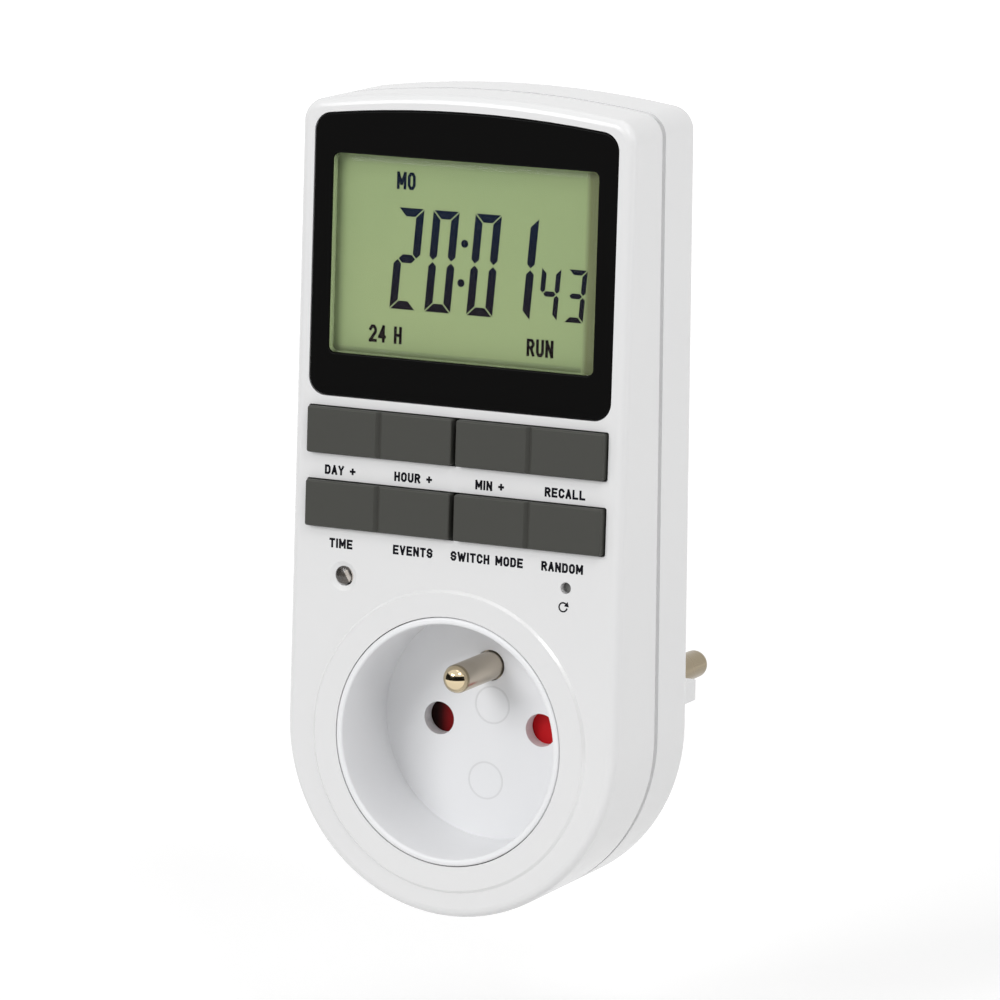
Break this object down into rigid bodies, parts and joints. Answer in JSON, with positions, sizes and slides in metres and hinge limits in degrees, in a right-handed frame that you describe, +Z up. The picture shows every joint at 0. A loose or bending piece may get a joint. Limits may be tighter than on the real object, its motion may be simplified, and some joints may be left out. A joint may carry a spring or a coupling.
{
  "type": "plug-in digital timer switch",
  "caption": "Plug-in digital timer switch: white housing with a black-framed display, grey rocking keys, a shuttered earthed socket in front and a round-pin plug behind.",
  "frame": {"origin": "midway between the two plug pins, on the end face of the plug tower", "axes": "+Y along the plug pins into the wall, +Z up, +X to the right as seen from the front"},
  "size_m": [0.0606, 0.0769, 0.1353],
  "materials": {
    "white_plastic": "satin moulded",
    "black_gloss": "high gloss",
    "clear_pane": "clear",
    "display_glass": "olive reflective display",
    "natural_plastic": "matt moulded",
    "black_rubber": "matt",
    "green_board": "solder resist",
    "brown_board": "bare laminate",
    "key_plastic": "fine matt",
    "black_component": "moulded",
    "yellow_component": "coated",
    "blue_component": "dipped",
    "steel": "zinc plated",
    "smoky_lens": "clear, slightly smoky",
    "red_plastic": "satin",
    "nickel": "nickel plated brass",
    "brass": "stamped"
  },
  "bodies": {
    "housing": {"front_housing": "white_plastic", "rear_housing": "white_plastic", "socket_well": "white_plastic", "window_bezel": "black_gloss", "window_lens": "clear_pane", "lcd_panel": "display_glass", "lcd_holder": "natural_plastic", "shutter_retainer": "natural_plastic", "zebra_strip": "black_rubber", "control_board": "green_board", "power_board": "brown_board", "key_switches": "black_component", "reset_switch": "black_component", "controller_chip": "black_component", "relay": "black_component", "rectifier_diodes": "black_component", "board_header": "black_component", "smoothing_capacitor": "black_component", "film_capacitor": "yellow_component", "surge_varistor": "blue_component", "fuse_resistor": "blue_component", "control_board_screws": "steel", "power_board_screws": "steel", "housing_screws": "steel", "clock_crystal": "steel", "backup_battery": "steel", "shutter_spring": "steel", "status_led": "smoky_lens", "earth_pin": "nickel", "live_pin": "nickel", "neutral_pin": "nickel", "earth_contact": "brass", "live_contact": "brass", "neutral_contact": "brass", "live_strap": "brass"},
    "upper_left_rocker": {"key_rocker_upper_left": "key_plastic"},
    "upper_right_rocker": {"key_rocker_upper_right": "key_plastic"},
    "lower_left_rocker": {"key_rocker_lower_left": "key_plastic"},
    "lower_right_rocker": {"key_rocker_lower_right": "key_plastic"},
    "reset_pin": {"reset_button": "key_plastic"},
    "safety_shutter": {"shutter": "red_plastic"}
  },
  "joints": [
    {"name": "upper_left_rocker_hinge", "type": "hinge", "parent": "housing", "child": "upper_left_rocker", "pos_m": [-0.0138, -0.0504, 0.04963], "axis": [0, 0.0462, 0.9989], "range_deg": [-2.5, 2.5], "stiffness_Nm_per_rad": 0.02},
    {"name": "upper_right_rocker_hinge", "type": "hinge", "parent": "housing", "child": "upper_right_rocker", "pos_m": [0.0138, -0.0504, 0.04963], "axis": [0, 0.0462, 0.9989], "range_deg": [-2.5, 2.5], "stiffness_Nm_per_rad": 0.02},
    {"name": "lower_left_rocker_hinge", "type": "hinge", "parent": "housing", "child": "lower_left_rocker", "pos_m": [-0.0138, -0.05097, 0.03739], "axis": [0, 0.0462, 0.9989], "range_deg": [-2.5, 2.5], "stiffness_Nm_per_rad": 0.02},
    {"name": "lower_right_rocker_hinge", "type": "hinge", "parent": "housing", "child": "lower_right_rocker", "pos_m": [0.0138, -0.05097, 0.03739], "axis": [0, 0.0462, 0.9989], "range_deg": [-2.5, 2.5], "stiffness_Nm_per_rad": 0.02},
    {"name": "reset_press", "type": "slide", "parent": "housing", "child": "reset_pin", "axis": [0, 0.9989, -0.0462], "range_m": [0, 0.00025], "stiffness_N_per_m": 200},
    {"name": "shutter_turn", "type": "hinge", "parent": "housing", "child": "safety_shutter", "pos_m": [0, -0.03795, 0], "axis": [0, 1, 0], "range_deg": [0, 42], "stiffness_Nm_per_rad": 0.01, "deforming": ["shutter_spring"]}
  ]
}
